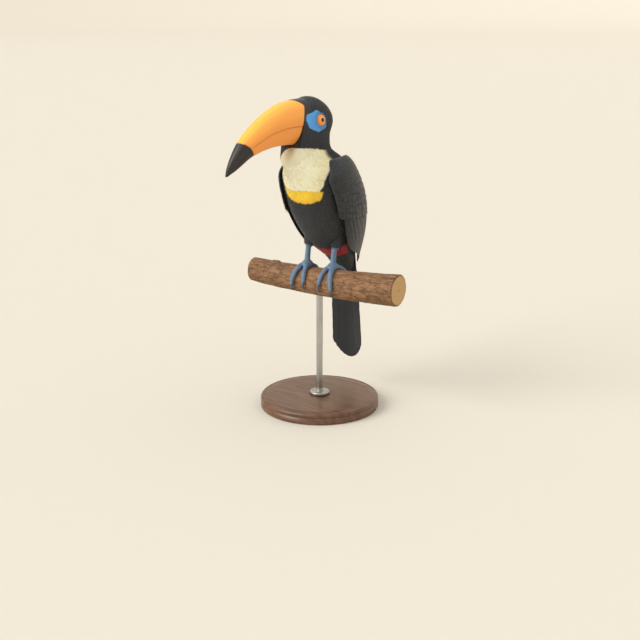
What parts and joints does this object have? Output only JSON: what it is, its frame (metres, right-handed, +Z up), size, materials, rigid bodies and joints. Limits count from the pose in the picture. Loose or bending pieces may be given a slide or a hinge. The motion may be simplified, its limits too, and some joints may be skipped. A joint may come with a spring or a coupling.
{
  "type": "toco toucan on a display stand",
  "caption": "Life-size toco toucan standing upright with its head turned, gripping a short cut branch held by a plain rod and round base.",
  "frame": {"origin": "middle of the base's underside, on the floor, straight below the stand's rod and the middle of the perch", "axes": "+Z up, the bird's body faces -Y and its left side is +X, the perch runs along X"},
  "size_m": [0.27, 0.2654, 0.4927],
  "materials": {
    "plumage": "soft, faintly glossy black feathers with a cream bib, a golden band under it, white rump and red undertail",
    "bill": "satin horn, orange with a black tip and a thin black line round the root",
    "eye": "wet glossy eye with an orange iris and a black pupil",
    "leg_skin": "dry scaly slate blue skin",
    "claw": "smooth dark slate horn",
    "bark": "rough brown bark with pale sawn ends",
    "rod": "satin steel",
    "base_wood": "turned, oiled dark hardwood"
  },
  "bodies": {
    "root": {"bill_upper": "bill", "bill_lower": "bill", "head": "plumage", "neck": "plumage", "trunk": "plumage", "tail": "plumage", "eye_left": "eye", "wing_left": "plumage", "thigh_left": "plumage", "shank_left": "leg_skin", "foot_left": "leg_skin", "claw_left_front_outer": "claw", "claw_left_front_inner": "claw", "claw_left_back_outer": "claw", "claw_left_back_inner": "claw", "eye_right": "eye", "wing_right": "plumage", "thigh_right": "plumage", "shank_right": "leg_skin", "foot_right": "leg_skin", "claw_right_front_outer": "claw", "claw_right_front_inner": "claw", "claw_right_back_outer": "claw", "claw_right_back_inner": "claw", "perch": "bark", "stand_rod": "rod", "stand_flange": "rod", "stand_base": "base_wood"}
  },
  "joints": []
}
